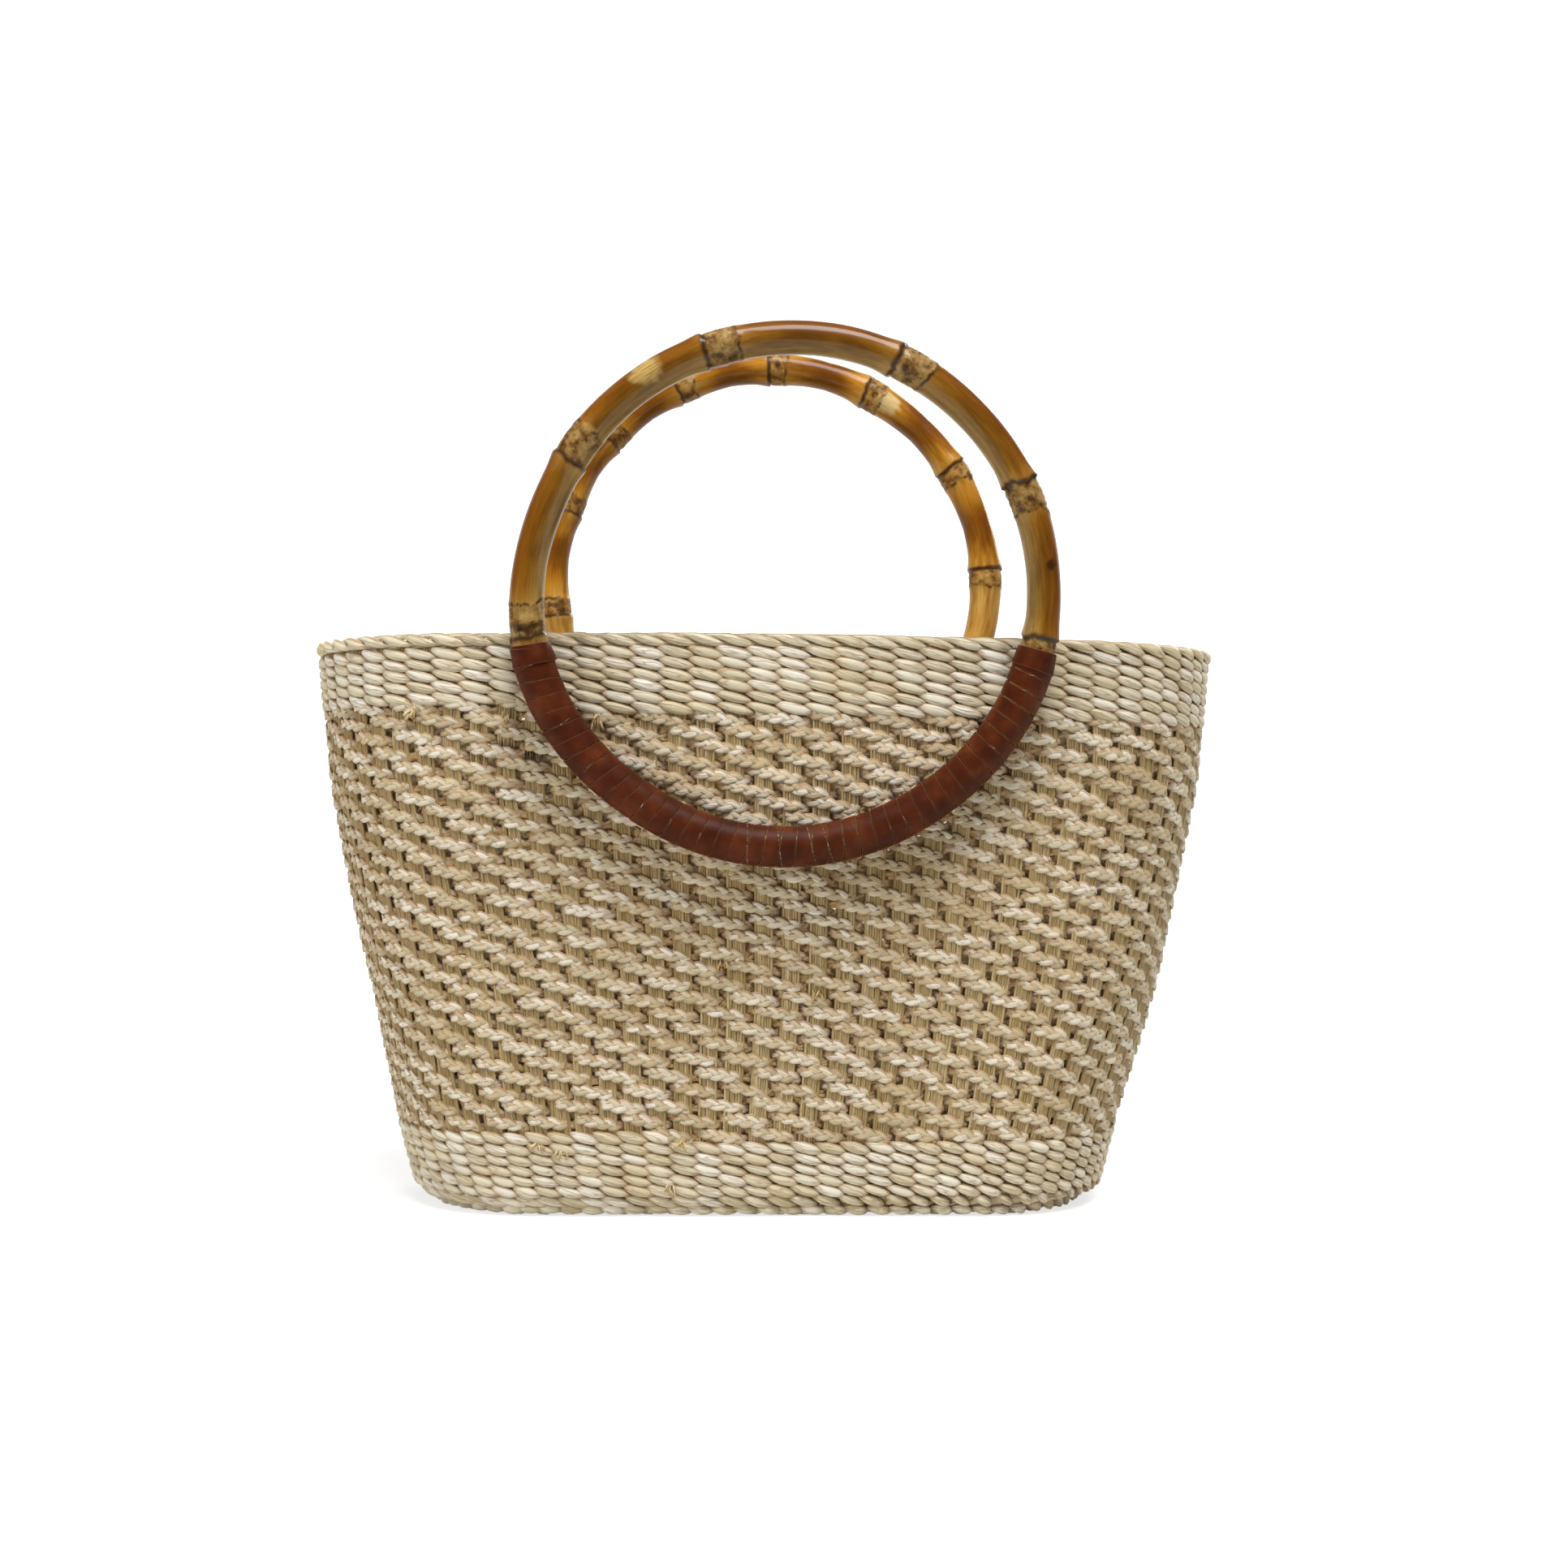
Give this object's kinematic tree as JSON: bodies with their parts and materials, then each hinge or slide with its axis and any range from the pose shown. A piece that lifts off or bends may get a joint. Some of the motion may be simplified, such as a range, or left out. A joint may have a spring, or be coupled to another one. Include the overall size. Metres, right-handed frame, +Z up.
{
  "type": "straw basket bag with bamboo ring handles",
  "caption": "Woven straw basket bag with a plaited wall, twined bands, a rope rim and two bamboo ring handles whose lower arcs are wound with brown leather.",
  "frame": {"origin": "middle of the underside that the bag stands on", "axes": "+Z up, +X along the bag's length, the front with the lower ring faces -Y"},
  "size_m": [0.357, 0.1769, 0.3532],
  "materials": {
    "band_straw": "dried palm leaf strands, satin, cream",
    "plait_straw": "three-strand plaited palm leaf, matte to satin, warm straw",
    "stake_straw": "split straw bundles, matte, greyer tan",
    "bamboo": "flame-toned bamboo under clear gloss varnish",
    "peg_wood": "bare turned wood",
    "leather": "red-brown leather strip, semi-matte",
    "thread": "clear monofilament"
  },
  "bodies": {
    "basket": {"stake_frame": "stake_straw", "base_mat_outer": "band_straw", "base_mat_inner": "band_straw", "lower_band_outer": "band_straw", "lower_band_inner": "band_straw", "plait_field_outer": "plait_straw", "plait_field_inner": "plait_straw", "upper_band_outer": "band_straw", "upper_band_inner": "band_straw", "rim_border": "band_straw", "front_lashing": "thread", "rear_lashing": "thread"},
    "front_handle": {"front_ring_cane": "bamboo", "front_ring_peg": "peg_wood", "front_leather_wrap": "leather"},
    "rear_handle": {"rear_ring_cane": "bamboo", "rear_ring_peg": "peg_wood", "rear_leather_wrap": "leather"}
  },
  "joints": [
    {"name": "front_handle_lean", "type": "hinge", "parent": "basket", "child": "front_handle", "pos_m": [0.008, -0.06889, 0.1405], "axis": [1, 0, 0], "range_deg": [0, 10], "stiffness_Nm_per_rad": 3, "springref_deg": -0.57},
    {"name": "rear_handle_lean", "type": "hinge", "parent": "basket", "child": "rear_handle", "pos_m": [0.004, 0.07013, 0.1595], "axis": [-1, 0, 0], "range_deg": [0, 10], "stiffness_Nm_per_rad": 3, "springref_deg": -0.57}
  ]
}
